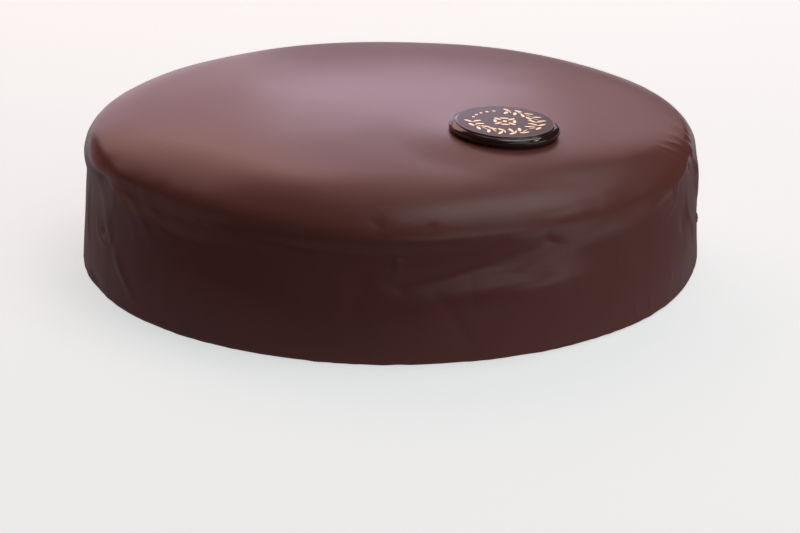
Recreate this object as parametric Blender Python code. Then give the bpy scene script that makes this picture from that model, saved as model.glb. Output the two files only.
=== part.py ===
"""Sachertorte: a whole round chocolate cake under a poured glaze, with a moulded chocolate seal on it.

The cake stands on Z = 0 with its middle on the Z axis, and -Y is its front. Lengths are in metres.
Angles are in degrees, anticlockwise from +X as seen from above. A place on the glaze is
(angle, climb), where climb is the way up the cake's outline from the foot of its side, over the
shoulder and on to the middle of the top.
"""

import math
from collections import namedtuple

import bmesh
import bpy
import numpy as np
from mathutils import Matrix, Vector

MM = 0.001

# The cake: a 24 cm tin, a domed top and sides that lean out a little towards the foot. From the dome
# the outline bends over a wide haunch and then a tighter shoulder. The haunch's lean is how far from
# level the surface has tipped where the haunch ends. In front it leans further and the shoulder is
# rounder than at the back and the ends.
SIDE_RADIUS = 120 * MM
FOOT_RADIUS = 122.4 * MM
HEIGHT = 65.2 * MM
DOME_CURVATURE = 700 * MM
HAUNCH_ROUND = 64 * MM
HAUNCH_LEAN = math.radians(22)
FRONT_HAUNCH_LEAN = math.radians(39)
SHOULDER_ROUND = 8.5 * MM
FRONT_SHOULDER_ROUND = 15 * MM
FOOT_ROUND = 1.6 * MM

# The outline starts to soften where the surface's direction has the first share of forward, and is
# fully soft from the second share on.
SOFTENS = (0.1, 0.76)

# The mesh's steps round the cake and up each stretch of its outline.
AROUND = 160
FOOT_RINGS = 2
SIDE_RINGS = 9
SHOULDER_RINGS = 5
HAUNCH_RINGS = 3
DOME_RINGS = 5

# The seal: a round chocolate disc with a flat face, a groove round it and a rolled rim over a
# narrower foot.
SEAL_RADIUS = 21.3 * MM
SEAL_THICKNESS = 4.1 * MM
SEAL_FACE_RADIUS = 19.6 * MM
SEAL_GROOVE = 0.4 * MM
SEAL_RIM_ROUND = 1.5 * MM
SEAL_FOOT_RADIUS = 20.6 * MM
SEAL_FOOT_HEIGHT = 1.1 * MM
SEAL_AROUND = 64
SEAL_REACH = 58.5 * MM
SEAL_ANGLE = 317.5
SEAL_TURN = -28
REST_GAP = 0.35 * MM

# The seal was pressed on while the glaze was soft. It leans a little less than the dome does there,
# and the glaze lies flat under it out to the first radius and is back on the dome at the second.
SEAL_LEAN = math.radians(3)
SEAL_LEAN_ANGLE = 344
SEAT_RADII = (22 * MM, 36 * MM)

# The slow waves of a poured glaze, as (waves round the cake, waves up it, phase, rise).
WAVES = (
    (3, 0.5, 40, 0.35 * MM),
    (5, 1.5, 200, 0.25 * MM),
    (8, 2.5, 110, 0.15 * MM),
)
DOME_WAVE_SHARE = 0.35
WAVE_CLIMB = 56 * MM

# A fold is a soft ridge along a path of (angle, climb in mm); a hollow has a rise below zero.
Fold = namedtuple("Fold", "path width rise")
FOLDS = (
    # where the glaze gathers at the right-hand end
    Fold([(342, 52), (337, 42), (334, 32), (335, 20)], 4.5 * MM, 1.0 * MM),
    Fold([(347, 54), (345, 40), (343, 28), (346, 8)], 5.0 * MM, 1.3 * MM),
    Fold([(352, 50), (352, 32), (354, 18)], 7.0 * MM, 1.5 * MM),
    Fold([(330, 6), (345, 5), (358, 6)], 8.0 * MM, -1.1 * MM),
    # where it gathers at the left-hand end
    Fold([(194, 52), (195, 38), (197, 24), (199, 8)], 4.5 * MM, 1.0 * MM),
    Fold([(202, 50), (203, 36), (206, 22), (212, 10)], 4.5 * MM, 0.9 * MM),
    Fold([(178, 41), (190, 42), (204, 41)], 6.0 * MM, -0.9 * MM),
    # the slumped ledge across the front, under a hollow
    Fold([(272, 27), (281, 28), (290, 31), (303, 35)], 6.0 * MM, 0.9 * MM),
    Fold([(268, 39), (285, 42), (303, 43)], 6.5 * MM, -0.8 * MM),
    Fold([(278, 22), (283, 12), (288, 5)], 5.0 * MM, 0.5 * MM),
)
BACK_FOLD_ANGLES = (18, 47, 71, 104, 133, 158)
BACK_FOLD_WIDTH = 5.5 * MM
BACK_FOLD_RISE = 0.8 * MM
FOLD_STEP = 2.5 * MM

Finish = namedtuple("Finish", "colour roughness")
GLAZE = Finish((0.085, 0.034, 0.025), 0.42)
SEAL_CHOCOLATE = Finish((0.030, 0.014, 0.012), 0.22)


# One stretch of the cake's outline: the middle and radius of its arc, which way it faces where it
# starts, and its length. The side is straight, has no radius and runs on from the rounding about
# its middle.
Stretch = namedtuple("Stretch", "centre_radius centre_height round first_turn length")


def arc(centre, radius, start, end, steps):
    """(radius, height) points along an arc in the outline's plane, its first point left out."""
    turns = [math.radians(start + (end - start) * i / steps) for i in range(1, steps + 1)]
    return [(centre[0] + radius * math.cos(t), centre[1] + radius * math.sin(t)) for t in turns]


def seal_outline():
    """The seal's outline as (radius, height), from its underside's edge to the middle of its face."""
    rim_height = SEAL_THICKNESS - SEAL_RIM_ROUND
    rim_inset = SEAL_RADIUS - SEAL_RIM_ROUND
    foot_edge = 0.3 * SEAL_FOOT_HEIGHT
    points = [
        (SEAL_FOOT_RADIUS - foot_edge, 0),
        (SEAL_FOOT_RADIUS, foot_edge),
        (SEAL_FOOT_RADIUS, SEAL_FOOT_HEIGHT),
    ]
    points += arc((rim_inset, rim_height), SEAL_RIM_ROUND, -50, 100, 7)
    points += [
        (SEAL_FACE_RADIUS - SEAL_GROOVE / 2, SEAL_THICKNESS - SEAL_GROOVE),
        (SEAL_FACE_RADIUS - SEAL_GROOVE, SEAL_THICKNESS),
        (0, SEAL_THICKNESS),
    ]
    return points


def turned(outline, around):
    """A closed solid made by spinning an outline that ends on the Z axis, with a flat underside."""
    mesh = bmesh.new()
    corners = [mesh.verts.new((radius, 0, height)) for radius, height in [(0, outline[0][1]), *outline]]
    edges = [mesh.edges.new(pair) for pair in zip(corners, corners[1:])]
    bmesh.ops.spin(
        mesh,
        geom=corners + edges,
        cent=(0, 0, 0),
        axis=(0, 0, 1),
        angle=math.tau,
        steps=around,
        use_duplicate=False,
    )
    bmesh.ops.remove_doubles(mesh, verts=mesh.verts, dist=0.01 * MM)
    bmesh.ops.recalc_face_normals(mesh, faces=mesh.faces)
    return mesh


def smooth_step(share):
    """Goes smoothly from 0 to 1 as the share does, and stays there beyond both."""
    share = np.clip(share, 0, 1)
    return share * share * (3 - 2 * share)


class Seat:
    """Where the seal lies: its middle on the dome, which way it faces, and its bed of glaze."""

    def __init__(self):
        angle = math.radians(SEAL_ANGLE)
        lean_angle = math.radians(SEAL_LEAN_ANGLE)
        height = HEIGHT - DOME_CURVATURE + math.sqrt(DOME_CURVATURE**2 - SEAL_REACH**2)
        self.middle = Vector((SEAL_REACH * math.cos(angle), SEAL_REACH * math.sin(angle), height))
        level = math.sin(SEAL_LEAN)
        self.up = Vector((level * math.cos(lean_angle), level * math.sin(lean_angle), math.cos(SEAL_LEAN)))

    def flatten(self, point):
        """A point of the glaze moved on to the bed, by as much as it lies under the seal."""
        off = point - self.middle
        rise = off.dot(self.up)
        reach = (off - rise * self.up).length
        share = 1 - smooth_step((reach - SEAT_RADII[0]) / (SEAT_RADII[1] - SEAT_RADII[0]))
        return point - float(share) * rise * self.up


class Glaze:
    """The smooth cake's surface: where a place on it lies, which way it faces and how far it is raised.

    Angles are in radians here. A turn is the way the surface faces, up from level.
    """

    def __init__(self):
        ring_counts = (FOOT_RINGS, SIDE_RINGS, SHOULDER_RINGS, HAUNCH_RINGS, DOME_RINGS)
        self.rings = [(0, 0)]
        for stretch, count in enumerate(ring_counts):
            self.rings += [(stretch, i / count) for i in range(1, count + 1)]
        self.start_outline = np.array([self.locate(0, self.ring_climb(0, ring))[:2] for ring in self.rings])

    def stretches(self, angle):
        """The outline's five stretches at an angle: foot, side, shoulder, haunch and dome."""
        soft = smooth_step((-np.sin(angle) - SOFTENS[0]) / (SOFTENS[1] - SOFTENS[0]))
        shoulder = SHOULDER_ROUND + (FRONT_SHOULDER_ROUND - SHOULDER_ROUND) * soft
        haunch_lean = HAUNCH_LEAN + (FRONT_HAUNCH_LEAN - HAUNCH_LEAN) * soft
        spare = SIDE_RADIUS - shoulder - (HAUNCH_ROUND - shoulder) * np.sin(haunch_lean)
        dome_lean = np.arcsin(spare / (DOME_CURVATURE - HAUNCH_ROUND))
        dome_height = HEIGHT - DOME_CURVATURE
        haunch_radius = (DOME_CURVATURE - HAUNCH_ROUND) * np.sin(dome_lean)
        haunch_height = dome_height + (DOME_CURVATURE - HAUNCH_ROUND) * np.cos(dome_lean)
        shoulder_radius = haunch_radius + (HAUNCH_ROUND - shoulder) * np.sin(haunch_lean)
        shoulder_height = haunch_height + (HAUNCH_ROUND - shoulder) * np.cos(haunch_lean)
        foot_radius = FOOT_RADIUS - FOOT_ROUND
        across = foot_radius - shoulder_radius
        down = FOOT_ROUND - shoulder_height
        span = np.hypot(across, down)
        side_turn = np.arctan2(down, across) + np.arccos((shoulder - FOOT_ROUND) / span)
        side = np.sqrt(span**2 - (shoulder - FOOT_ROUND) ** 2)
        level, upright = -math.pi / 2, math.pi / 2
        shoulder_turns = upright - haunch_lean - side_turn
        haunch_turns = haunch_lean - dome_lean
        return (
            Stretch(foot_radius, FOOT_ROUND, FOOT_ROUND, level, FOOT_ROUND * (side_turn - level)),
            Stretch(foot_radius, FOOT_ROUND, None, side_turn, side),
            Stretch(shoulder_radius, shoulder_height, shoulder, side_turn, shoulder * shoulder_turns),
            Stretch(
                haunch_radius,
                haunch_height,
                HAUNCH_ROUND,
                upright - haunch_lean,
                HAUNCH_ROUND * haunch_turns,
            ),
            Stretch(0, dome_height, DOME_CURVATURE, upright - dome_lean, DOME_CURVATURE * dome_lean),
        )

    def locate(self, angle, climb):
        """The radius, the height and the turn at each angle and climb."""
        radius, height, turn, start = 0, 0, 0, 0
        for stretch in self.stretches(angle):
            beyond = climb - start
            if stretch.round is None:
                here = stretch.first_turn
                here_radius = stretch.centre_radius + FOOT_ROUND * np.cos(here) - beyond * np.sin(here)
                here_height = stretch.centre_height + FOOT_ROUND * np.sin(here) + beyond * np.cos(here)
            else:
                here = stretch.first_turn + beyond / stretch.round
                here_radius = stretch.centre_radius + stretch.round * np.cos(here)
                here_height = stretch.centre_height + stretch.round * np.sin(here)
            radius = np.where(beyond >= 0, here_radius, radius)
            height = np.where(beyond >= 0, here_height, height)
            turn = np.where(beyond >= 0, here, turn)
            start = start + stretch.length
        return radius, height, turn

    def place(self, angle, climb):
        """The point of the surface at each angle and climb."""
        radius, height, _ = self.locate(angle, climb)
        return np.stack([radius * np.cos(angle), radius * np.sin(angle), height], -1)

    def facing(self, angle, climb):
        """The outward direction at each angle and climb."""
        turn = self.locate(angle, climb)[2]
        return np.stack([np.cos(turn) * np.cos(angle), np.cos(turn) * np.sin(angle), np.sin(turn)], -1)

    def whole_climb(self, angle):
        """The length of the whole outline at an angle."""
        return sum(stretch.length for stretch in self.stretches(angle))

    def ring_climb(self, angle, ring):
        """How far up a ring lies, given as a stretch of the outline and a share of it."""
        lengths = [stretch.length for stretch in self.stretches(angle)]
        number, share = ring
        return sum(lengths[:number]) + share * lengths[number]

    def ring_of(self, point):
        """The ring that a vertex of the turned solid belongs to, or None on the underside."""
        away = np.hypot(*(self.start_outline - (math.hypot(point.x, point.y), point.z)).T)
        number = int(away.argmin())
        return self.rings[number] if number and away[number] < 0.01 * MM else None

    def waves(self, angle, climb):
        """How far the slow waves raise the surface; they calm down over the dome and at the foot."""
        up_side = climb / WAVE_CLIMB
        rise = 0
        for round_count, up_count, phase, size in WAVES:
            round_wave = math.sin(round_count * angle + math.radians(phase))
            rise += size * round_wave * math.cos(up_count * math.pi * up_side)
        dome_share = min(max((up_side - 1) / 0.4, 0), 1)
        foot_share = min(up_side / 0.1, 1)
        middle = min((self.whole_climb(angle) - climb) / SIDE_RADIUS, 1)
        return float(rise * foot_share * middle * (1 - (1 - DOME_WAVE_SHARE) * dome_share))

    def fold_line(self, fold):
        """Points close together along a fold's path on the surface, and how far along each lies."""
        angles, climbs = np.array(fold.path, float).T
        angles, climbs = np.radians(angles), climbs * MM
        lengths = np.hypot(np.diff(angles) * SIDE_RADIUS, np.diff(climbs))
        ends = np.concatenate([[0], np.cumsum(lengths)])
        along = np.linspace(0, ends[-1], max(3, round(ends[-1] / FOLD_STEP)))
        points = self.place(np.interp(along, ends, angles), np.interp(along, ends, climbs))
        return points, along / ends[-1]


def back_folds():
    """The same soft upright folds where the cake's far side is."""
    folds = []
    for number, angle in enumerate(BACK_FOLD_ANGLES):
        lean = 3 if number % 2 else -4
        top = 50 - 4 * (number % 3)
        path = [(angle, top), (angle + lean, 30), (angle + lean / 2, 10)]
        folds.append(Fold(path, BACK_FOLD_WIDTH, BACK_FOLD_RISE * (1 - 0.2 * (number % 3))))
    return folds


def fold_rise(point, fold, line):
    """How far one fold raises a point: most on its line and nothing at its ends."""
    points, shares = line
    away = np.linalg.norm(points - np.array(point), axis=1)
    nearest = int(away.argmin())
    if away[nearest] > 3 * fold.width:
        return 0
    taper = math.sin(math.pi * min(max(shares[nearest], 0.08), 0.92)) ** 0.6
    return fold.rise * taper * math.exp(-((float(away[nearest]) / fold.width) ** 2))


def add_object(name, mesh, finish):
    """A named object with a smooth-shaded mesh and its own material."""
    data = bpy.data.meshes.new(name)
    mesh.to_mesh(data)
    mesh.free()
    data.shade_smooth()
    data.set_sharp_from_angle(angle=math.radians(40))
    material = bpy.data.materials.new(name)
    material.use_nodes = True
    shader = material.node_tree.nodes["Principled BSDF"]
    shader.inputs["Base Color"].default_value = (*finish.colour, 1)
    shader.inputs["Roughness"].default_value = finish.roughness
    shader.inputs["Metallic"].default_value = 0
    data.materials.append(material)
    made = bpy.data.objects.new(name, data)
    bpy.context.scene.collection.objects.link(made)
    return made


def make_cake(glaze, seat):
    """The whole cake as one solid: turned, softened in front, then waved and folded like its glaze."""
    mesh = turned(glaze.start_outline, AROUND)
    folds = [(fold, glaze.fold_line(fold)) for fold in [*FOLDS, *back_folds()]]
    for vertex in mesh.verts:
        ring = glaze.ring_of(vertex.co)
        if not ring:
            continue
        angle = math.atan2(vertex.co.y, vertex.co.x)
        climb = float(glaze.ring_climb(angle, ring))
        place = Vector(glaze.place(angle, climb))
        rise = glaze.waves(angle, climb)
        rise += sum(fold_rise(place, fold, line) for fold, line in folds)
        vertex.co = seat.flatten(place + rise * Vector(glaze.facing(angle, climb)))
    return add_object("cake", mesh, GLAZE)


def make_seal(seat):
    """The chocolate seal, lying on its bed just off the glaze."""
    seal = add_object("seal", turned(seal_outline(), SEAL_AROUND), SEAL_CHOCOLATE)
    seal.rotation_mode = "QUATERNION"
    turn = Matrix.Rotation(math.radians(SEAL_TURN), 4, "Z").to_quaternion()
    seal.rotation_quaternion = seat.up.to_track_quat("Z", "Y") @ turn
    seal.location = seat.middle + REST_GAP * seat.up
    return seal


def main():
    for old in list(bpy.data.objects):
        bpy.data.objects.remove(old)
    seat = Seat()
    make_cake(Glaze(), seat)
    make_seal(seat)


main()
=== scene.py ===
"""Sachertorte: the looks of a whole chocolate torte under a poured glaze, with a moulded seal on top."""

import math
from collections import namedtuple
from itertools import cycle

import bpy
import numpy as np
from mathutils import Matrix, Vector, noise


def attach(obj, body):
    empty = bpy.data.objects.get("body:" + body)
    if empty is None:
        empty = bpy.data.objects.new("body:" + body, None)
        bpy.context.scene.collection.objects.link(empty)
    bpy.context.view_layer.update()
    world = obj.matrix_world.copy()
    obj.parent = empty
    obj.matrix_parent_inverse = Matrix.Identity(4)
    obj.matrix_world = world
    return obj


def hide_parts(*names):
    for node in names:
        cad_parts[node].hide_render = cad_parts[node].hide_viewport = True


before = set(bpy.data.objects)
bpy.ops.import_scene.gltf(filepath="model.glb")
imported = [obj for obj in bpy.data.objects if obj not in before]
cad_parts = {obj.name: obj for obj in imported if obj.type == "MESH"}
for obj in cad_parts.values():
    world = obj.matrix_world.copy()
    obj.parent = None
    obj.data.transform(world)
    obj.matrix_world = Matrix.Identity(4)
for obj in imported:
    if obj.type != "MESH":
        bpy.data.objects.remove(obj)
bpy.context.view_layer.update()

bl_info = {
    "name": "Glazed Chocolate Torte",
    "version": (1, 0, 0),
    "blender": (4, 5, 0),
    "location": "3D View > Sidebar > Torte",
    "description": "Models a glazed chocolate torte, its moulded seal and its studio",
    "category": "Add Mesh",
}

MM = 0.001

# ---------------------------------------------------------------------------------------------
# The glaze's forms. A place on the cake is (angle, climb): degrees anticlockwise from +X as seen
# from above, and millimetres up the outline from the foot of the side to the middle of the top.
# ---------------------------------------------------------------------------------------------

# The slow waves of a poured glaze, as (waves round the cake, half waves up it, phase in degrees, rise).
WAVES = (
    (3, 0.5, 40, 0.35 * MM),
    (5, 1.5, 200, 0.25 * MM),
    (8, 2.5, 110, 0.15 * MM),
)
# The waves are full over this climb. Beyond it they calm down to a share of themselves, and at the
# foot they start from nothing, each over a share of this climb.
WAVE_CLIMB = 56 * MM
DOME_WAVE_SHARE = 0.35
DOME_CALMS_OVER = 0.4
FOOT_STARTS_OVER = 0.1

# The glaze's small unevenness, in layers of lumps. A layer has the lumps' width, that width as a
# share of their height, a shift that sets it off from the others, and how much they rise on the
# top, how much more down the side and how much more at the foot.
Lumps = namedtuple("Lumps", "width share_of_height shift top_rise side_rise foot_rise")
LUMPS = (
    Lumps(30 * MM, 0.6, (0, 0, 0), 0.10 * MM, 0.22 * MM, 0),
    Lumps(9 * MM, 0.5, (1, 0, 0), 0.015 * MM, 0.105 * MM, 0),
    Lumps(5 * MM, 1.0, (0, 2, 0), 0, 0, 0.2 * MM),
)
# What is added down the side fades out between two climbs, and what is added at the foot up to one.
SIDE_FADES = (50 * MM, 65 * MM)
FOOT_FADES_BY = 5 * MM

# How far forward the side faces, from 0 to 1, where its shoulder starts to soften and where it is
# fully soft.
SOFTENS = (0.1, 0.76)

# The seal's bed: the glaze lies flat under it out to the first radius and is back on the dome at
# the second. The seal has sunk a little into the soft glaze, most on the side that faces the angle.
SEAT_RADII = (6 * MM, 44 * MM)
SINK = 1.3 * MM
SINK_ANGLE = math.radians(200)

# A fold is a soft ridge along a path. Its two widths are how far it reaches above and below the
# path as seen from outside, walking the path with rising angle; a hollow has a rise below zero.
# Towards its ends it fades by a power of a half sine, of which the first and last bits are left off,
# and it ends at a few of its widths from the path.
Fold = namedtuple("Fold", "path above below rise")
FADE_POWER = 0.6
FADE_END = 0.03
FOLD_ENDS_AT = 3

FRONT_FOLDS = (
    # the hollow where the glaze has sagged away from the shoulder
    Fold(
        [(204, 47), (222, 46), (235, 45.5), (248, 44), (262, 42.2)]
        + [(276, 41.8), (290, 42.2), (303, 42.7), (318, 45)],
        6.0,
        18.0,
        -4.5,
    ),
    # the slumped ledge under it, and the crease along its upper edge
    Fold([(270, 20), (277, 22.5), (283, 24.5), (288, 25.5), (294, 26), (300, 26), (308, 25)], 7.0, 8.0, 1.6),
    Fold([(270, 30), (277, 32), (283, 34.5), (288, 37), (294, 39), (300, 40), (305, 40)], 3.0, 4.0, -1.0),
    Fold([(284, 26), (290, 27), (297, 27.5), (304, 27)], 6.5, 7.0, 1.2),
    # the dip that parts it into two bands, deepest at its right
    Fold([(285, 31.5), (291, 32), (297, 32), (303, 31.5)], 1.7, 1.7, -0.25),
    Fold([(295, 32), (300, 31.5)], 2.0, 2.0, -0.35),
    # a comma-shaped dent at its right, a bump and a wedge at its left
    Fold([(300, 49), (300.5, 43), (304.5, 39)], 2.2, 2.2, -0.5),
    Fold([(270.5, 38.5), (272.5, 38.5)], 3.5, 3.5, 0.45),
    Fold([(265.5, 32), (268.5, 29), (271, 25)], 3.0, 3.0, 0.5),
    Fold([(270.5, 32), (273, 28)], 2.6, 2.6, -0.35),
    # diagonal runs under the ledge
    Fold([(278.5, 26), (280, 22), (281.5, 17), (285, 4)], 2.2, 2.2, -0.5),
    Fold([(273.5, 23), (277, 16.5), (282.5, 8)], 3.0, 3.0, 0.4),
    Fold([(263, 26), (264, 20)], 2.5, 2.5, -0.35),
    Fold([(259, 31.5), (264, 29)], 3.0, 3.0, 0.3),
    # little notches along the soft shoulder
    Fold([(266, 56), (269, 54.5)], 3.0, 3.0, -0.3),
    Fold([(277, 55), (278.5, 51.5)], 3.0, 3.0, -0.3),
)

RIGHT_FOLDS = (
    # the knot where the glaze gathers at the right, and the ridge that trails from it
    Fold(
        [(346.5, 52), (343.5, 49.5), (339, 48), (336, 46.5), (334.5, 41), (331.5, 38), (329, 36)],
        1.6,
        1.6,
        0.9,
    ),
    Fold([(344.5, 48.5), (343, 47.5)], 1.4, 1.4, -0.9),
    Fold([(351.5, 53), (347, 52)], 1.4, 1.4, 0.4),
    # ridges beyond it
    Fold([(350, 55), (349, 52), (348, 49.5), (350, 44), (347, 38)], 1.7, 1.7, 0.8),
    Fold([(342, 40), (341.5, 34), (342.5, 29), (345, 24.5), (346, 17)], 1.7, 1.7, 0.8),
    Fold([(352.5, 50), (351, 45), (350.5, 40), (351, 32)], 2.2, 2.2, 1.0),
    Fold([(352.5, 24), (351.5, 20)], 2.0, 2.0, 0.8),
    Fold([(356, 45), (357, 36), (356, 26)], 2.5, 2.5, 1.0),
    # wrinkles drawn up over the shoulder
    Fold([(342.5, 63), (343, 58), (344, 53)], 1.3, 1.3, 0.25),
    Fold([(346, 63), (347, 58), (347, 53)], 1.3, 1.3, 0.25),
    Fold([(351, 63), (350.5, 58), (349.5, 53)], 1.3, 1.3, 0.25),
    Fold([(355, 64), (355, 58.5), (353, 53.5)], 1.3, 1.3, 0.25),
    # the long crease from the top towards the knot
    Fold([(311, 71.5), (320, 69), (328, 66.5), (336, 65), (340, 57)], 10.0, 4.5, 0.3),
    Fold([(364, 65), (360, 59.5), (357, 55)], 1.5, 1.5, 0.3),
    # a dip and short runs lower down
    Fold([(338.5, 34), (338.5, 25)], 3.0, 3.0, -0.5),
    Fold([(332, 15), (332, 10)], 0.9, 0.9, 0.35),
    Fold([(337.5, 10), (337.5, 4)], 0.9, 0.9, 0.35),
    Fold([(319.5, 9), (319.5, 3)], 0.9, 0.9, 0.35),
    Fold([(324, 9), (324, 4)], 0.9, 0.9, 0.35),
    # the undercut foot
    Fold([(330, 6), (345, 5), (358, 6)], 8.0, 8.0, -1.1),
)

LEFT_FOLDS = (
    # pleats down the left end
    Fold([(192.5, 41), (192.5, 35), (193.5, 25), (195, 12)], 3.0, 3.0, 0.6),
    Fold([(200, 43), (202, 40), (205, 35), (208, 29)], 2.4, 2.4, 0.5),
    Fold([(204, 47), (209, 44), (214, 39), (217, 32)], 2.0, 2.0, 0.3),
    Fold([(208.5, 48), (214.5, 44), (219, 38), (222, 32)], 2.0, 2.0, 0.3),
    Fold([(216.5, 49.5), (222.5, 42), (226, 36)], 2.0, 2.0, 0.2),
    # an almond-shaped dimple with a raised outline
    Fold([(200.5, 29), (201, 26), (202, 24.5), (204, 22.5), (207, 22.5)], 1.5, 1.5, 0.4),
    Fold([(203.5, 32), (206.5, 29.5), (208, 25.5), (207, 22)], 1.5, 1.5, 0.4),
    Fold([(204, 28.5), (205, 25)], 1.9, 1.9, -0.45),
    Fold([(208.5, 26), (210, 22.5), (212, 17.5), (215, 12.5), (218, 7)], 2.0, 2.0, 0.5),
    # the shoulder's rounded lip, the crease and the hollow under it, and the pinched foot
    Fold([(145, 48), (165, 46.5), (180, 45), (190, 45), (200, 47.5), (208, 50.5), (216, 52)], 4.5, 4.5, 1.3),
    Fold([(200, 45), (206, 47.5), (214, 49.5), (222, 50.5)], 2.4, 2.4, -0.35),
    Fold([(178, 41), (190, 42), (204, 41)], 6.0, 6.0, -0.7),
    Fold([(197, 5), (205, 3)], 2.5, 2.5, -0.8),
    # a fine scratch
    Fold([(240.5, 21), (240.5, 15.5), (241.5, 4)], 0.5, 0.5, 0.12),
)

# Soft upright folds run down the far side. They lean to either side by turns, and from one to the
# next they start lower and rise less, until the fourth starts anew.
BACK_FOLD_ANGLES = (18, 47, 71, 104, 133, 158)
BACK_FOLD_LEANS = (-4, 3)
BACK_FOLD_STARTS = (50, 46, 42)
BACK_FOLD_RISES = (0.8, 0.64, 0.48)
BACK_FOLD_MIDDLE = 30
BACK_FOLD_END = 10
BACK_FOLD_WIDTH = 5.5

# Small pits in the top, as (x, y, radius, depth) in millimetres.
PITS = (
    (-85.3, -42.8, 0.8, 0.16),
    (-40.2, -81.9, 0.6, 0.2),
    (-43.2, -80.7, 0.6, 0.2),
    (-62.1, -61.1, 0.6, 0.2),
    (40.3, 6.2, 0.9, 0.35),
    (43.6, -2.4, 0.7, 0.25),
    (95.6, 1.5, 0.7, 0.2),
)


def linear(hex_colour):
    """An sRGB hex colour as linear RGBA."""
    channels = [int(hex_colour[i : i + 2], 16) / 255 for i in (1, 3, 5)]
    return [c / 12.92 if c <= 0.04045 else ((c + 0.055) / 1.055) ** 2.4 for c in channels] + [1]


def add_node(material, kind, settings=None, inputs=None):
    """Adds a shader node; an input that is itself an output socket is linked."""
    node = material.node_tree.nodes.new(kind)
    for name, value in (settings or {}).items():
        setattr(node, name, value)
    for name, value in (inputs or {}).items():
        if isinstance(value, bpy.types.NodeSocket):
            material.node_tree.links.new(value, node.inputs[name])
        else:
            node.inputs[name].default_value = value
    return node


def new_material(name):
    """An empty node material and its output."""
    material = bpy.data.materials.new(name)
    material.use_nodes = True
    material.node_tree.nodes.clear()
    return material, material.node_tree.nodes.new("ShaderNodeOutputMaterial")


# ---------------------------------------------------------------------------------------------
# The cake's outline and its surface
# ---------------------------------------------------------------------------------------------

# One stretch of the outline: the middle and radius of its arc, which way it faces where it starts,
# and its length. The side is straight and has no radius.
Stretch = namedtuple("Stretch", "centre_radius centre_height round first_turn length")


def smooth_step(share):
    """Goes smoothly from 0 to 1 as the share does, and stays there beyond both."""
    share = np.clip(share, 0, 1)
    return share * share * (3 - 2 * share)


class Surface:
    """The smooth cake: where a place on it lies and which way it faces, in radians and metres.

    Its outline runs round the foot, up the side, over the shoulder and a wide haunch, and along
    the dome. Every arc meets the next without a corner. A turn is the way the surface faces, up
    from level.
    """

    def __init__(self, sizes):
        self.sizes = sizes

    def stretches(self, angle):
        """The five stretches of the outline at each angle."""
        sizes = self.sizes
        soft = smooth_step((-np.sin(angle) - SOFTENS[0]) / (SOFTENS[1] - SOFTENS[0]))
        shoulder = sizes.shoulder_round + (sizes.front_shoulder_round - sizes.shoulder_round) * soft
        haunch_lean = sizes.haunch_lean + (sizes.front_haunch_lean - sizes.haunch_lean) * soft
        haunch, dome, foot = sizes.haunch_round, sizes.dome_curvature, sizes.foot_round
        spare = sizes.side_radius - shoulder - (haunch - shoulder) * np.sin(haunch_lean)
        dome_lean = np.arcsin(spare / (dome - haunch))
        dome_height = sizes.height - dome
        haunch_radius = (dome - haunch) * np.sin(dome_lean)
        haunch_height = dome_height + (dome - haunch) * np.cos(dome_lean)
        shoulder_radius = haunch_radius + (haunch - shoulder) * np.sin(haunch_lean)
        shoulder_height = haunch_height + (haunch - shoulder) * np.cos(haunch_lean)
        foot_radius = sizes.foot_radius - foot
        across, down = foot_radius - shoulder_radius, foot - shoulder_height
        span = np.hypot(across, down)
        side_turn = np.arctan2(down, across) + np.arccos((shoulder - foot) / span)
        side = np.sqrt(span**2 - (shoulder - foot) ** 2)
        down_turn, up_turn = -math.pi / 2, math.pi / 2
        haunch_turn = up_turn - haunch_lean
        shoulder_length = shoulder * (haunch_turn - side_turn)
        haunch_length = haunch * (haunch_lean - dome_lean)
        return (
            Stretch(foot_radius, foot, foot, down_turn, foot * (side_turn - down_turn)),
            Stretch(foot_radius, foot, None, side_turn, side),
            Stretch(shoulder_radius, shoulder_height, shoulder, side_turn, shoulder_length),
            Stretch(haunch_radius, haunch_height, haunch, haunch_turn, haunch_length),
            Stretch(0, dome_height, dome, up_turn - dome_lean, dome * dome_lean),
        )

    def whole_climb(self, angle):
        """The length of the whole outline at an angle."""
        return sum(stretch.length for stretch in self.stretches(angle))

    def locate(self, angle, climb):
        """The radius, the height and the turn at each angle and climb."""
        foot = self.sizes.foot_round
        radius, height, turn, start = 0, 0, 0, 0
        for stretch in self.stretches(angle):
            beyond = climb - start
            if stretch.round is None:
                here = stretch.first_turn
                here_radius = stretch.centre_radius + foot * np.cos(here) - beyond * np.sin(here)
                here_height = stretch.centre_height + foot * np.sin(here) + beyond * np.cos(here)
            else:
                here = stretch.first_turn + beyond / stretch.round
                here_radius = stretch.centre_radius + stretch.round * np.cos(here)
                here_height = stretch.centre_height + stretch.round * np.sin(here)
            radius = np.where(beyond >= 0, here_radius, radius)
            height = np.where(beyond >= 0, here_height, height)
            turn = np.where(beyond >= 0, here, turn)
            start = start + stretch.length
        return radius, height, turn

    def place(self, angle, climb):
        """The point of the surface at each angle and climb."""
        radius, height, _ = self.locate(angle, climb)
        return np.stack([radius * np.cos(angle), radius * np.sin(angle), height], -1)

    def facing(self, angle, climb):
        """The outward direction at each angle and climb."""
        turn = self.locate(angle, climb)[2]
        return np.stack([np.cos(turn) * np.cos(angle), np.cos(turn) * np.sin(angle), np.sin(turn)], -1)


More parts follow.
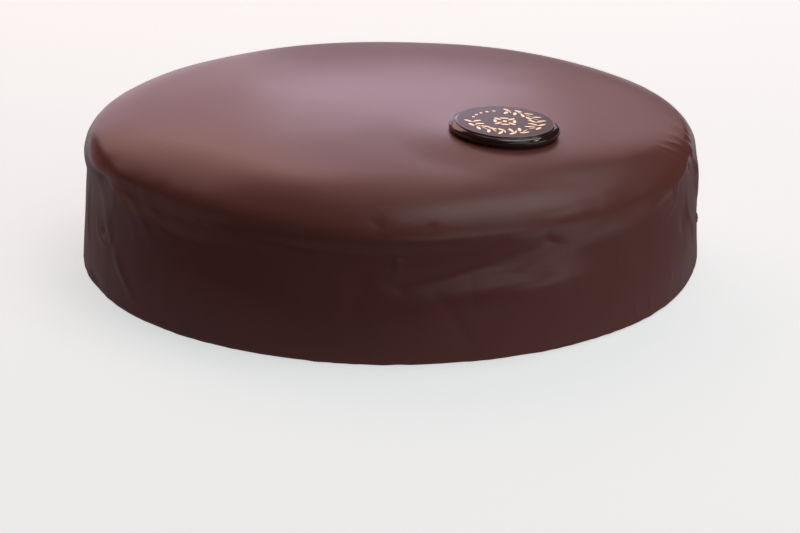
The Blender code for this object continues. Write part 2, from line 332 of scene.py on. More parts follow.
class Seat:
    """Where the seal lies: its middle on the dome, which way it faces, and its bed in the glaze."""

    def __init__(self, sizes):
        around, lean_around = sizes.seal_angle, sizes.seal_lean_angle
        reach, curvature = sizes.seal_reach, sizes.dome_curvature
        height = sizes.height - curvature + math.sqrt(curvature**2 - reach**2)
        self.middle = Vector((reach * math.cos(around), reach * math.sin(around), height))
        level, upright = math.sin(sizes.seal_lean), math.cos(sizes.seal_lean)
        self.up = Vector((level * math.cos(lean_around), level * math.sin(lean_around), upright))
        self.turn = sizes.seal_turn
        self.seal_radius = sizes.seal_radius

    def flatten(self, points):
        """Points of the glaze moved on to the bed, by as much as they lie under the seal."""
        off = points - np.array(self.middle)
        up = np.array(self.up)
        rise = off @ up
        reach = np.linalg.norm(off - rise[:, None] * up, axis=1)
        share = 1 - smooth_step((reach - SEAT_RADII[0]) / (SEAT_RADII[1] - SEAT_RADII[0]))
        towards = off @ np.array([math.cos(SINK_ANGLE), math.sin(SINK_ANGLE), 0])
        lift = SINK * np.clip(0.5 + 0.5 * towards / self.seal_radius, 0, 1)
        return points - (share * (rise - lift))[:, None] * up

    def settle(self, piece, gap):
        """Carries a piece modelled flat about the origin on to the seat, inside its mesh."""
        turn = Matrix.Rotation(self.turn, 4, "Z").to_quaternion()
        piece.rotation_mode = "QUATERNION"
        piece.rotation_quaternion = self.up.to_track_quat("Z", "Y") @ turn
        piece.location = self.middle + gap * self.up
        deselect()
        piece.select_set(True)
        bpy.ops.object.transform_apply(location=True, rotation=True, scale=True)


def smooth_path(path, radius, step=1.0 * MM):
    """A path's places joined by a smooth curve, as angles in radians and climbs in metres."""
    corners = np.array([(math.radians(angle) * radius, climb * MM) for angle, climb in path])
    ends = [2 * corners[0] - corners[1], 2 * corners[-1] - corners[-2]]
    padded = np.vstack([ends[0], corners, ends[1]])
    line = []
    for before, start, end, after in zip(padded, padded[1:], padded[2:], padded[3:]):
        count = max(2, int(np.hypot(*(end - start)) / step))
        t = np.linspace(0, 1, count, endpoint=False)[:, None]
        bend = (end - before) * t + (2 * before - 5 * start + 4 * end - after) * t**2
        bend += (3 * start - before - 3 * end + after) * t**3
        line.append(start + bend / 2)
    line = np.vstack([*line, corners[-1:]])
    return line[:, 0] / radius, line[:, 1]


def fold_rise(points, surface, fold):
    """How far a fold raises each point of the surface: most in its middle and least at its ends."""
    angles, climbs = smooth_path(fold.path, surface.sizes.side_radius)
    line = surface.place(angles, climbs)
    reach = FOLD_ENDS_AT * max(fold.above, fold.below) * MM
    near = np.flatnonzero(((points > line.min(0) - reach) & (points < line.max(0) + reach)).all(1))
    rise = np.zeros(len(points))
    if not len(near):
        return rise
    away = np.linalg.norm(points[near, None] - line[None], axis=2)
    nearest = away.argmin(1)
    distance = away[np.arange(len(near)), nearest]
    across = np.cross(surface.facing(angles, climbs), np.gradient(line, axis=0))
    across /= np.linalg.norm(across, axis=1)[:, None]
    side = np.einsum("ij,ij->i", points[near] - line[nearest], across[nearest])
    upper_share = 0.5 + 0.5 * np.clip(side / np.maximum(distance, 0.01 * MM), -1, 1)
    width = (fold.below + (fold.above - fold.below) * upper_share) * MM
    share = np.clip(nearest / (len(line) - 1), FADE_END, 1 - FADE_END)
    fade = np.sin(math.pi * share) ** FADE_POWER
    rise[near] = fold.rise * MM * fade * np.exp(-((distance / width) ** 2))
    return rise


def back_folds():
    """The soft upright folds down the far side."""
    repeated = (cycle(BACK_FOLD_LEANS), cycle(BACK_FOLD_STARTS), cycle(BACK_FOLD_RISES))
    folds = []
    for angle, lean, start, rise in zip(BACK_FOLD_ANGLES, *repeated):
        path = [(angle, start), (angle + lean, BACK_FOLD_MIDDLE), (angle + lean / 2, BACK_FOLD_END)]
        folds.append(Fold(path, BACK_FOLD_WIDTH, BACK_FOLD_WIDTH, rise))
    return folds


def wave_rise(surface, angles, climbs):
    """How far the slow waves raise the surface; they calm down over the dome and at the foot."""
    up_side = climbs / WAVE_CLIMB
    rise = sum(
        size * np.sin(round_count * angles + math.radians(phase)) * np.cos(up_count * math.pi * up_side)
        for round_count, up_count, phase, size in WAVES
    )
    dome_share = np.clip((up_side - 1) / DOME_CALMS_OVER, 0, 1)
    foot_share = np.clip(up_side / FOOT_STARTS_OVER, 0, 1)
    middle = np.clip((surface.whole_climb(angles) - climbs) / surface.sizes.side_radius, 0, 1)
    return rise * foot_share * middle * (1 - (1 - DOME_WAVE_SHARE) * dome_share)


def uneven_rise(points, climbs):
    """The small unevenness of a glaze smoothed by hand, calmer on the top than down the side."""
    side_share = 1 - smooth_step((climbs - SIDE_FADES[0]) / (SIDE_FADES[1] - SIDE_FADES[0]))
    foot_share = 1 - smooth_step(climbs / FOOT_FADES_BY)
    rise = np.zeros(len(points))
    for lumps in LUMPS:
        places = (points * (1, 1, lumps.share_of_height) + lumps.shift) / lumps.width
        size = lumps.top_rise + lumps.side_rise * side_share + lumps.foot_rise * foot_share
        rise += size * [noise.noise(Vector(place)) for place in places]
    return rise


def pit_rise(points):
    """How far the small round pits in the top lower it, as a rise below zero."""
    rise = np.zeros(len(points))
    for x, y, radius, depth in PITS:
        away = np.hypot(points[:, 0] - x * MM, points[:, 1] - y * MM)
        rise -= depth * MM * np.exp(-((away / (radius * MM)) ** 2))
    return rise


# ---------------------------------------------------------------------------------------------
# What a user can change
# ---------------------------------------------------------------------------------------------


def length(label, description, millimetres):
    """A length property in metres, shown in the scene's own units."""
    return bpy.props.FloatProperty(
        name=label, description=description, default=millimetres * MM, unit="LENGTH", precision=4
    )


def turn(label, description, degrees):
    """An angle property, kept in radians and shown in degrees."""
    return bpy.props.FloatProperty(
        name=label, description=description, default=math.radians(degrees), unit="ROTATION"
    )


def count(label, description, number, least):
    """A whole-number property."""
    return bpy.props.IntProperty(name=label, description=description, default=number, min=least)


def colour(label, description, hex_colour):
    """A colour property kept as its sRGB hex text."""
    return bpy.props.StringProperty(name=label, description=description, default=hex_colour)


class TORTE_PG_sizes(bpy.types.PropertyGroup):
    side_radius: length("Side Radius", "Radius of the cake at its shoulder", 120)
    foot_radius: length("Foot Radius", "Radius of the cake at its foot", 122.4)
    height: length("Height", "Height of the cake at its middle", 65.2)
    dome_curvature: length("Dome Curvature", "Radius of curvature of the domed top", 700)
    haunch_round: length("Haunch Round", "Radius of the wide bend between dome and shoulder", 64)
    haunch_lean: turn("Haunch Lean", "How far from level the surface has tipped where the haunch ends", 22)
    front_haunch_lean: turn("Front Haunch Lean", "The same in front", 39)
    shoulder_round: length("Shoulder Round", "Radius of the rounding between haunch and side", 8.5)
    front_shoulder_round: length("Front Shoulder Round", "The same in front", 15)
    foot_round: length("Foot Round", "Radius of the rounding at the foot", 1.6)
    around: count("Steps Around", "Faces around the cake", 720, 64)
    seal_radius: length("Seal Radius", "Radius of the seal", 21.3)
    seal_thickness: length("Seal Thickness", "Thickness of the seal at its face", 4.1)
    seal_rim_round: length("Seal Rim Round", "Radius of the nose of the seal's rim", 1.3)
    seal_bevel_round: length("Seal Bevel Round", "Radius of the rim's bevel, above its nose", 4.4)
    seal_foot_radius: length("Seal Foot Radius", "Radius of the seal's underside", 20.6)
    seal_reach: length("Seal Reach", "Distance of the seal from the cake's middle", 58.5)
    seal_angle: turn("Seal Angle", "Where round the cake the seal lies", 317.5)
    seal_turn: turn("Seal Turn", "How far the seal's print is turned", -28)
    seal_lean: turn("Seal Lean", "How far the seal leans from level", 3)
    seal_lean_angle: turn("Seal Lean Angle", "Which way the seal leans", 344)
    seal_gap: length("Seal Gap", "Gap between the seal and the glaze", 0.35)


class TORTE_PG_colours(bpy.types.PropertyGroup):
    glaze: colour("Glaze", "sRGB hex colour of the glaze", "#9F625A")
    glaze_shade: colour("Glaze Shade", "sRGB hex colour of the glaze's cloudier patches", "#9C6058")
    seal: colour("Seal", "sRGB hex colour of the seal", "#4E3531")
    gold: colour("Gold", "sRGB hex colour of the print on the seal", "#F3E0AC")
    floor: colour("Floor", "sRGB hex colour of the floor", "#F2F0EE")


# ---------------------------------------------------------------------------------------------
# Finishes
# ---------------------------------------------------------------------------------------------


def poured_chocolate_glaze(colours):
    """Cooked chocolate-and-sugar glaze, set to a satin skin on which highlights spread wide and soft."""
    material, output = new_material("poured_chocolate_glaze")
    place = add_node(material, "ShaderNodeTexCoord").outputs["Object"]

    # A faint cloudiness about two centimetres across, in the colour and in the gloss.
    cloud = add_node(
        material,
        "ShaderNodeTexNoise",
        inputs={"Vector": place, "Scale": 1 / (22 * MM), "Detail": 3.0, "Roughness": 0.55},
    )
    base = add_node(
        material,
        "ShaderNodeMix",
        {"data_type": "RGBA"},
        {0: cloud.outputs["Fac"], 6: linear(colours.glaze_shade), 7: linear(colours.glaze)},
    )
    gloss = add_node(
        material,
        "ShaderNodeMapRange",
        inputs={
            "Value": cloud.outputs["Fac"],
            "From Min": 0.2,
            "From Max": 0.8,
            "To Min": 0.29,
            "To Max": 0.31,
        },
    )

    # Sugar grain just under a millimetre across, and the slightly leathery skin of a set glaze.
    grain = add_node(
        material,
        "ShaderNodeTexNoise",
        inputs={"Vector": place, "Scale": 1 / (0.9 * MM), "Detail": 2.0, "Roughness": 0.6},
    )
    skin = add_node(
        material,
        "ShaderNodeTexNoise",
        inputs={"Vector": place, "Scale": 1 / (5 * MM), "Detail": 1.0, "Roughness": 0.5},
    )
    relief = add_node(
        material,
        "ShaderNodeBump",
        inputs={"Height": skin.outputs["Fac"], "Strength": 1.0, "Distance": 0.012 * MM},
    )
    relief = add_node(
        material,
        "ShaderNodeBump",
        inputs={
            "Height": grain.outputs["Fac"],
            "Strength": 1.0,
            "Distance": 0.03 * MM,
            "Normal": relief.outputs["Normal"],
        },
    )
    shader = add_node(
        material,
        "ShaderNodeBsdfPrincipled",
        inputs={
            "Base Color": base.outputs[2],
            "Roughness": gloss.outputs["Result"],
            "IOR": 1.48,
            "Normal": relief.outputs["Normal"],
        },
    )
    material.node_tree.links.new(shader.outputs[0], output.inputs["Surface"])
    return material


def tempered_dark_chocolate(colours, seat, face_radius):
    """Dark chocolate set in a polished mould, glossier on its rim than on its printed face."""
    material, output = new_material("tempered_dark_chocolate")
    place = add_node(material, "ShaderNodeTexCoord").outputs["Object"]
    reach = add_node(
        material, "ShaderNodeVectorMath", {"operation": "DISTANCE"}, {0: place, 1: tuple(seat.middle)}
    )

    # The gloss and the shine both change over the last half millimetre of the face.
    face_end = face_radius - 0.5 * MM
    gloss = add_node(
        material,
        "ShaderNodeMapRange",
        inputs={
            "Value": reach.outputs["Value"],
            "From Min": face_end,
            "From Max": face_radius,
            "To Min": 0.30,
            "To Max": 0.11,
        },
    )
    shine = add_node(
        material,
        "ShaderNodeMapRange",
        inputs={
            "Value": reach.outputs["Value"],
            "From Min": face_end,
            "From Max": face_radius,
            "To Min": 0.18,
            "To Max": 1.0,
        },
    )
    shader = add_node(
        material,
        "ShaderNodeBsdfPrincipled",
        inputs={
            "Base Color": linear(colours.seal),
            "Roughness": gloss.outputs["Result"],
            "IOR": 1.5,
            "Specular IOR Level": shine.outputs["Result"],
        },
    )
    material.node_tree.links.new(shader.outputs[0], output.inputs["Surface"])
    return material


def gold_cocoa_butter(colours):
    """Cocoa butter coloured with pale gold lustre and printed thinly, which glints like soft metal."""
    material, output = new_material("gold_cocoa_butter")
    shader = add_node(
        material,
        "ShaderNodeBsdfPrincipled",
        inputs={"Base Color": linear(colours.gold), "Metallic": 1.0, "Roughness": 0.30},
    )
    material.node_tree.links.new(shader.outputs[0], output.inputs["Surface"])
    return material


def studio_board(colours):
    """The studio floor: pale to the camera, and to the cake a dim board whose painted glow throws only a
    little light on it.
    """
    material, output = new_material("studio_board")
    rays = add_node(material, "ShaderNodeLightPath")
    board = add_node(material, "ShaderNodeBsdfDiffuse", inputs={"Color": linear(colours.floor)})
    glow = add_node(material, "ShaderNodeEmission", inputs={"Color": linear("#EFF4F4"), "Strength": 0.70})
    pale = add_node(material, "ShaderNodeAddShader", inputs={0: board.outputs[0], 1: glow.outputs[0]})

    # The painted glow it throws on the cake, which the camera doesn't see, grows from front to back, and is
    # a little stronger close to the cake, and again on the left of it, but not in front.
    place = add_node(material, "ShaderNodeTexCoord").outputs["Object"]
    depth = add_node(material, "ShaderNodeSeparateXYZ", inputs={"Vector": place}).outputs["Y"]
    behind = add_node(
        material,
        "ShaderNodeMapRange",
        inputs={"Value": depth, "From Min": 0.02, "From Max": 0.9, "To Min": 0.07, "To Max": 1.03},
    )
    away = add_node(material, "ShaderNodeVectorMath", {"operation": "LENGTH"}, {0: place}).outputs["Value"]
    near = add_node(
        material,
        "ShaderNodeMapRange",
        inputs={"Value": away, "From Min": 0.14, "From Max": 0.18, "To Min": 0.06, "To Max": 0.0},
    )
    across = add_node(material, "ShaderNodeSeparateXYZ", inputs={"Vector": place}).outputs["X"]
    leftwards = add_node(
        material,
        "ShaderNodeMapRange",
        inputs={"Value": across, "From Min": -0.12, "From Max": -0.20, "To Min": 0.0, "To Max": 0.05},
    )
    not_front = add_node(
        material,
        "ShaderNodeMapRange",
        inputs={"Value": depth, "From Min": -0.06, "From Max": 0.06, "To Min": 0.0, "To Max": 1.0},
    )
    beside = add_node(
        material,
        "ShaderNodeMath",
        {"operation": "MULTIPLY"},
        {0: leftwards.outputs["Result"], 1: not_front.outputs["Result"]},
    )
    strength = add_node(
        material,
        "ShaderNodeMath",
        {"operation": "ADD"},
        {0: behind.outputs["Result"], 1: near.outputs["Result"]},
    )
    strength = add_node(
        material,
        "ShaderNodeMath",
        {"operation": "ADD"},
        {0: strength.outputs["Value"], 1: beside.outputs["Value"]},
    )
    # To all but the camera the board is a dim grey copy of itself, as painted shade, with the painted glow
    # added.
    dim = add_node(material, "ShaderNodeBsdfDiffuse", inputs={"Color": linear("#616161")})
    painted_glow = add_node(
        material,
        "ShaderNodeEmission",
        inputs={"Color": linear("#FAF5FF"), "Strength": strength.outputs["Value"]},
    )
    thrown = add_node(material, "ShaderNodeAddShader", inputs={0: dim.outputs[0], 1: painted_glow.outputs[0]})
    seen = add_node(
        material,
        "ShaderNodeMixShader",
        inputs={0: rays.outputs["Is Camera Ray"], 1: thrown.outputs[0], 2: pale.outputs[0]},
    )
    material.node_tree.links.new(seen.outputs[0], output.inputs["Surface"])
    return material


# ---------------------------------------------------------------------------------------------
# Modelling helpers
# ---------------------------------------------------------------------------------------------

# Points closer than this are one point.
WELD = 0.02 * MM


def deselect():
    """Leaves no object selected."""
    bpy.ops.object.select_all(action="DESELECT")


def finish_piece(piece, name, material):
    """Names a finished piece and its mesh, and gives it its only material."""
    piece.name = name
    piece.data.name = name
    piece.data.materials.clear()
    piece.data.materials.append(material)


def arc(centre, radius, start, end, steps):
    """(radius, height) points along an arc in an outline's plane, its first point left out."""
    turns = [math.radians(start + (end - start) * i / steps) for i in range(1, steps + 1)]
    return [(centre[0] + radius * math.cos(t), centre[1] + radius * math.sin(t)) for t in turns]


def spun(name, points, steps, material, crease):
    """A closed solid turned from an outline drawn as a chain of edges and spun round the Z axis.

    Edges sharper than the crease, in degrees, are shaded as corners.
    """
    deselect()
    bpy.ops.mesh.primitive_plane_add(size=MM, location=(0, 0, 0))
    piece = bpy.context.object
    bpy.ops.object.mode_set(mode="EDIT")
    bpy.ops.mesh.merge(type="CENTER")
    bpy.ops.transform.translate(value=(0, 0, points[0][1]))
    here = (0, points[0][1])
    for point in points:
        step = (point[0] - here[0], 0, point[1] - here[1])
        bpy.ops.mesh.extrude_region_move(TRANSFORM_OT_translate={"value": step})
        here = point
    bpy.ops.mesh.select_all(action="SELECT")
    bpy.ops.mesh.spin(steps=steps, angle=math.tau, center=(0, 0, 0), axis=(0, 0, 1))
    bpy.ops.mesh.select_all(action="SELECT")
    bpy.ops.mesh.remove_doubles(threshold=WELD)
    bpy.ops.mesh.normals_make_consistent(inside=False)
    bpy.ops.object.mode_set(mode="OBJECT")
    bpy.ops.object.shade_smooth_by_angle(angle=math.radians(crease))
    finish_piece(piece, name, material)
    return piece


# The rings of the cake's mesh: a few round its foot, then even steps up to one climb, and from there
# on even shares of what is left to the middle of the top.
FOOT_RINGS = 4
RINGS_TO = 66 * MM
SIDE_RINGS = 82
TOP_RINGS = 38

# Only edges sharper than this, in degrees, would be shaded as corners, and the cake has none.
CAKE_CREASE = 60


def ring_climb(surface, angle, ring):
    """How far up a ring lies at an angle; foot and side rings first, then the top's."""
    foot_end = surface.stretches(angle)[0].length
    on_foot = foot_end * ring / FOOT_RINGS
    on_side = foot_end + (RINGS_TO - foot_end) * (ring - FOOT_RINGS) / SIDE_RINGS
    share = (ring - FOOT_RINGS - SIDE_RINGS) / TOP_RINGS
    on_top = RINGS_TO + (surface.whole_climb(angle) - RINGS_TO) * share
    return np.where(ring <= FOOT_RINGS, on_foot, np.where(share <= 0, on_side, on_top))


class TORTE_OT_glazed_cake(bpy.types.Operator):
    """Model the cake with the folds of its poured glaze"""

    bl_idname = "torte.glazed_cake"
    bl_label = "Glazed Cake"

    def execute(self, context):
        sizes = context.scene.torte_sizes
        surface = Surface(sizes)
        rings = np.arange(FOOT_RINGS + SIDE_RINGS + TOP_RINGS + 1)
        radii, heights, _ = surface.locate(0.0, ring_climb(surface, 0.0, rings))
        outline = [(float(radius), float(height)) for radius, height in zip(radii, heights)]
        outline[-1] = (0.0, sizes.height)
        material = poured_chocolate_glaze(context.scene.torte_colours)
        cake = spun("glazed_cake", outline, sizes.around, material, CAKE_CREASE)

        # Each vertex goes to its own ring's place at its own angle, and is raised from there.
        points = np.empty(len(cake.data.vertices) * 3)
        cake.data.vertices.foreach_get("co", points)
        points = points.reshape(-1, 3)
        reaches = np.hypot(points[:, 0], points[:, 1])
        away = np.hypot(reaches[:, None] - radii, points[:, 2, None] - heights)
        ring = away.argmin(1)
        on_outline = (away.min(1) < WELD) & (ring > 0)
        angles = np.arctan2(points[:, 1], points[:, 0])[on_outline]
        climbs = ring_climb(surface, angles, ring[on_outline])
        places = surface.place(angles, climbs)
        rise = wave_rise(surface, angles, climbs) + uneven_rise(places, climbs) + pit_rise(places)
        for fold in (*FRONT_FOLDS, *RIGHT_FOLDS, *LEFT_FOLDS, *back_folds()):
            rise += fold_rise(places, surface, fold)
        places += rise[:, None] * surface.facing(angles, climbs)
        points[on_outline] = Seat(sizes).flatten(places)
        cake.data.vertices.foreach_set("co", points.ravel())
        cake.data.update()
        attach(cake, "root")
        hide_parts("cake")
        return {"FINISHED"}


# The seal's outline: the small rounding of its underside's edge, the height of the rim's nose as a
# share of the seal's thickness, and how far up from level the rim faces, in degrees, where its nose
# starts, where the bevel follows and where the bevel ends.
UNDER_ROUND = 0.4 * MM
NOSE_HEIGHT = 0.43
NOSE_TURN = -45
BEVEL_TURN = 48
BEVEL_END_TURN = 72
BEVEL_START = (math.cos(math.radians(BEVEL_TURN)), math.sin(math.radians(BEVEL_TURN)))

# The fine groove inside the bevel, as (inwards, down from the face) in millimetres, where the flat
# face begins, and where the rim's finish ends.
GROOVE = ((0.10, 0.38), (0.20, 0.40), (0.32, 0.30), (0.42, 0.12), (0.56, 0.03))
FACE_INWARDS = 1.0 * MM
FINISH_INWARDS = 0.1 * MM

# The steps in which the seal is spun, and the sharpness, in degrees, from which its edges show.
SEAL_STEPS = 128
SEAL_CREASE = 35


class TORTE_OT_seal(bpy.types.Operator):
    """Model the moulded chocolate seal"""

    bl_idname = "torte.seal"
    bl_label = "Chocolate Seal"

    def execute(self, context):
        sizes = context.scene.torte_sizes
        rim, top, foot = sizes.seal_rim_round, sizes.seal_thickness, sizes.seal_foot_radius
        rim_middle = (sizes.seal_radius - rim, NOSE_HEIGHT * top)
        wider = sizes.seal_bevel_round - rim
        bevel_middle = tuple(middle - wider * share for middle, share in zip(rim_middle, BEVEL_START))
        points = [(foot - UNDER_ROUND, 0)]
        points += arc((foot - UNDER_ROUND, UNDER_ROUND), UNDER_ROUND, -90, 0, 5)
        points += arc(rim_middle, rim, NOSE_TURN, BEVEL_TURN, 14)
        points += arc(bevel_middle, sizes.seal_bevel_round, BEVEL_TURN, BEVEL_END_TURN, 12)
        edge = points[-1][0]
        points += [(edge - inwards * MM, top - down * MM) for inwards, down in GROOVE]
        points += [(edge - FACE_INWARDS, top), (0, top)]
        seat = Seat(sizes)
        face_radius = edge - FINISH_INWARDS
        material = tempered_dark_chocolate(context.scene.torte_colours, seat, face_radius)
        seal = spun("chocolate_seal", points, SEAL_STEPS, material, SEAL_CREASE)
        seat.settle(seal, sizes.seal_gap)
        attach(seal, "root")
        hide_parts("seal")
        return {"FINISHED"}


# The print on the seal, in millimetres and degrees. In the middle is a rosette of petals round a dot.
CENTRE_DOT_RADIUS = 0.9
ROSETTE_RADIUS = 3.7
ROSETTE_PETALS = 8
PETAL_LENGTH = 3.6
PETAL_WIDTH = 1.3

# Two leafy sprigs run along a wreath round it, their leaves in pairs on a stem of short strokes.
WREATH_RADIUS = 12.4
SPRIG_START = -74
SPRIG_STEP = 19
LEAF_PAIRS = 7
LEAF_LENGTH = 4.2
LEAF_SHORTENS = 0.15
LEAF_WIDTH = 1.3
LEAF_OFF_STEM = 1.8
LEAF_LEAN = 32
STROKE_LENGTH = 3.4
STROKE_WIDTH = 0.5
STROKE_BACK = 0.12
STROKE_LEAN = 6

# A row of dots closes the wreath.
DOT_START = 62
DOT_STEP = 14
DOTS = 5
DOT_WIDTH = 1.3

# How thick the print is, and how deep it sits in the seal's face.
PRINT_THICKNESS = 0.15 * MM
PRINT_SUNK = 0.05 * MM


def add_ellipse(reach, around, length_mm, width_mm, heading):
    """Adds an ellipse to the mesh being edited.

    Its middle is at a reach in millimetres and an angle in radians, its heading is in degrees.
    """
    bpy.ops.mesh.select_all(action="DESELECT")
    bpy.ops.mesh.primitive_circle_add(vertices=14, radius=1 * MM, fill_type="NGON", location=(0, 0, 0))
    bpy.ops.transform.resize(value=(length_mm / 2, width_mm / 2, 1))
    bpy.ops.transform.rotate(value=math.radians(heading), orient_axis="Z", center_override=(0, 0, 0))
    place = (reach * MM * math.cos(around), reach * MM * math.sin(around), 0)
    bpy.ops.transform.translate(value=place)


def add_sprig(side):
    """Adds the sprig on the right, where side is 1, or its mirror image on the left, where it is -1."""
    mirror = 0 if side > 0 else math.pi
    for number in range(LEAF_PAIRS):
        degrees = SPRIG_START + SPRIG_STEP * number
        at = math.radians(degrees)
        for outward in (1, -1):
            reach = WREATH_RADIUS + outward * LEAF_OFF_STEM
            leaf = LEAF_LENGTH - LEAF_SHORTENS * number
            heading = side * (degrees + 90 - outward * LEAF_LEAN)
            add_ellipse(reach, side * at + mirror, leaf, LEAF_WIDTH, heading)
        stroke_at = side * (at - STROKE_BACK) + mirror
        stroke_heading = side * (degrees + 90 - STROKE_LEAN)
        add_ellipse(WREATH_RADIUS, stroke_at, STROKE_LENGTH, STROKE_WIDTH, stroke_heading)


class TORTE_OT_gold_ornament(bpy.types.Operator):
    """Print a wreath of two leafy sprigs round a small rosette on the seal, in gold"""

    bl_idname = "torte.gold_ornament"
    bl_label = "Gold Ornament"

    def execute(self, context):
        sizes = context.scene.torte_sizes
        deselect()
        radius = CENTRE_DOT_RADIUS * MM
        bpy.ops.mesh.primitive_circle_add(vertices=20, radius=radius, fill_type="NGON", location=(0, 0, 0))
        ornament = context.object
        bpy.ops.object.mode_set(mode="EDIT")
        for number in range(ROSETTE_PETALS):
            degrees = 360 / ROSETTE_PETALS * number
            add_ellipse(ROSETTE_RADIUS, math.radians(degrees), PETAL_LENGTH, PETAL_WIDTH, degrees)
        for side in (1, -1):
            add_sprig(side)
        for number in range(DOTS):
            at = math.radians(DOT_START + DOT_STEP * number)
            add_ellipse(WREATH_RADIUS, at, DOT_WIDTH, DOT_WIDTH, 0)
        bpy.ops.mesh.select_all(action="SELECT")
        bpy.ops.mesh.extrude_region_move(TRANSFORM_OT_translate={"value": (0, 0, PRINT_THICKNESS)})
        bpy.ops.mesh.select_all(action="SELECT")
        bpy.ops.mesh.normals_make_consistent(inside=False)
        bpy.ops.object.mode_set(mode="OBJECT")
        finish_piece(ornament, "gold_ornament", gold_cocoa_butter(context.scene.torte_colours))
        Seat(sizes).settle(ornament, sizes.seal_gap + sizes.seal_thickness - PRINT_SUNK)
        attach(ornament, "root")
        return {"FINISHED"}


# ---------------------------------------------------------------------------------------------
# The studio
# ---------------------------------------------------------------------------------------------

# How far the camera looks down and rolls, in degrees, how far it stands from the point that it aims
# at, in metres, and its focal length in millimetres.
CAMERA_PITCH = 20.23
CAMERA_DISTANCE = 1.2
CAMERA_AIM = Vector((0.0038, -0.0025, -0.0056))
CAMERA_LENS = 134.76
CAMERA_ROLL = 0.36

# The floor lies this far under the cake's flat underside, so that the two faces stay apart.
FLOOR_DROP = 0.2 * MM
FLOOR_RADIUS = 4

# The room's own faint even light.
ROOM_LIGHT = 0.006

# A soft box: where it hangs by azimuth from +Y towards +X and by elevation, its width and height,
# its radiance and its colour. All hang at the same distance from the middle of the cake's foot and
# aim at it.
BOX_DISTANCE = 1.5
SoftBox = namedtuple("SoftBox", "name azimuth elevation width height radiance colour")
SOFT_BOXES = (
    SoftBox("back_box", 0.2, 20.5, 0.35, 0.38, 2.5, "#FFE8FF"),
    SoftBox("back_left_box", -25.0, 35.5, 0.80, 0.66, 1.66, "#FFCEC7"),
    SoftBox("back_high_box", -1.0, 52.0, 0.48, 1.02, 0.74, "#FFD6CF"),
    SoftBox("back_right_box", 15.6, 32.0, 0.46, 1.19, 0.84, "#FFDCE1"),
    SoftBox("overhead_box", 50.5, 67.0, 0.32, 1.02, 1.9, "#FFFAFA"),
    SoftBox("shoulder_box", 92.0, 68.0, 0.45, 0.42, 0.7, "#FFFAFA"),
    SoftBox("key_light", 79.0, 51.0, 0.28, 0.09, 5.0, "#FFFFFF"),
    SoftBox("right_box", 112.0, 15.0, 1.35, 0.70, 0.54, "#FFFFFF"),
    SoftBox("front_right_box", 130.0, 54.0, 0.85, 0.26, 0.52, "#FFFFFF"),
    SoftBox("ledge_box", 144.0, 41.0, 1.15, 0.24, 0.93, "#FFFFFF"),
    SoftBox("left_high_box", -95.0, 20.0, 0.90, 0.50, 0.24, "#FFE4DA"),
    SoftBox("low_back_box", -17.5, 10.5, 0.62, 0.56, 0.94, "#FFE0F0"),
    SoftBox("left_box", -58.0, 9.0, 1.32, 0.45, 0.44, "#FFB1A6"),
)


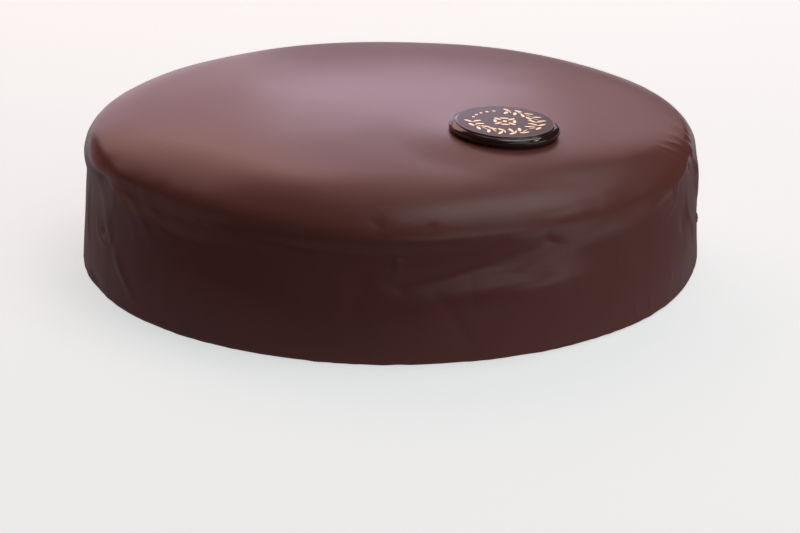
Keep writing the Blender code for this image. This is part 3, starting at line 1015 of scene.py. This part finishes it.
class TORTE_OT_studio(bpy.types.Operator):
    """Set the camera, the pale floor and the soft boxes"""

    bl_idname = "torte.studio"
    bl_label = "Studio"

    def execute(self, context):
        deselect()
        pitch = math.radians(CAMERA_PITCH)
        forward = Vector((0, math.cos(pitch), -math.sin(pitch)))
        bpy.ops.object.camera_add(location=CAMERA_AIM - CAMERA_DISTANCE * forward)
        camera = context.object
        tilt = Matrix.Rotation(math.pi / 2 - pitch, 4, "X")
        roll = Matrix.Rotation(math.radians(CAMERA_ROLL), 4, "Z")
        camera.rotation_euler = (tilt @ roll).to_euler()
        camera.data.lens = CAMERA_LENS
        camera.data.sensor_width = 36
        context.scene.camera = camera

        for box in SOFT_BOXES:
            azimuth, elevation = math.radians(box.azimuth), math.radians(box.elevation)
            level = math.cos(elevation)
            out = Vector((math.sin(azimuth) * level, math.cos(azimuth) * level, math.sin(elevation)))
            bpy.ops.object.light_add(type="AREA", location=BOX_DISTANCE * out)
            light = context.object
            light.name = box.name
            light.rotation_euler = out.to_track_quat("Z", "Y").to_euler()
            light.data.shape = "RECTANGLE"
            light.data.size = box.width
            light.data.size_y = box.height
            light.data.energy = box.radiance * math.pi * box.width * box.height
            light.data.color = linear(box.colour)[:3]
            light.visible_camera = False

        deselect()
        under = (0, 0, -FLOOR_DROP)
        bpy.ops.mesh.primitive_circle_add(vertices=96, radius=FLOOR_RADIUS, fill_type="NGON", location=under)
        bpy.ops.object.transform_apply(location=True, rotation=False, scale=False)
        floor = context.object
        finish_piece(floor, "studio_floor", studio_board(context.scene.torte_colours))

        world = bpy.data.worlds.new("studio")
        context.scene.world = world
        world.use_nodes = True
        background = world.node_tree.nodes["Background"]
        background.inputs["Color"].default_value = linear("#FFFFFF")
        background.inputs["Strength"].default_value = ROOM_LIGHT
        context.scene.view_settings.view_transform = "Standard"
        return {"FINISHED"}


class TORTE_PT_panel(bpy.types.Panel):
    bl_label = "Torte"
    bl_idname = "TORTE_PT_panel"
    bl_space_type = "VIEW_3D"
    bl_region_type = "UI"
    bl_category = "Torte"

    def draw(self, context):
        for group in (context.scene.torte_sizes, context.scene.torte_colours):
            for name in group.__annotations__:
                self.layout.prop(group, name)
        for operator in OPERATORS:
            self.layout.operator(operator.bl_idname)


OPERATORS = (TORTE_OT_glazed_cake, TORTE_OT_seal, TORTE_OT_gold_ornament, TORTE_OT_studio)
CLASSES = (TORTE_PG_sizes, TORTE_PG_colours, *OPERATORS, TORTE_PT_panel)


def register():
    for cls in CLASSES:
        bpy.utils.register_class(cls)
    bpy.types.Scene.torte_sizes = bpy.props.PointerProperty(type=TORTE_PG_sizes)
    bpy.types.Scene.torte_colours = bpy.props.PointerProperty(type=TORTE_PG_colours)


def unregister():
    del bpy.types.Scene.torte_colours
    del bpy.types.Scene.torte_sizes
    for cls in reversed(CLASSES):
        bpy.utils.unregister_class(cls)


def main():
    register()
    bpy.ops.torte.glazed_cake()
    bpy.ops.torte.seal()
    bpy.ops.torte.gold_ornament()
    bpy.ops.torte.studio()


if __name__ == "__main__":
    main()
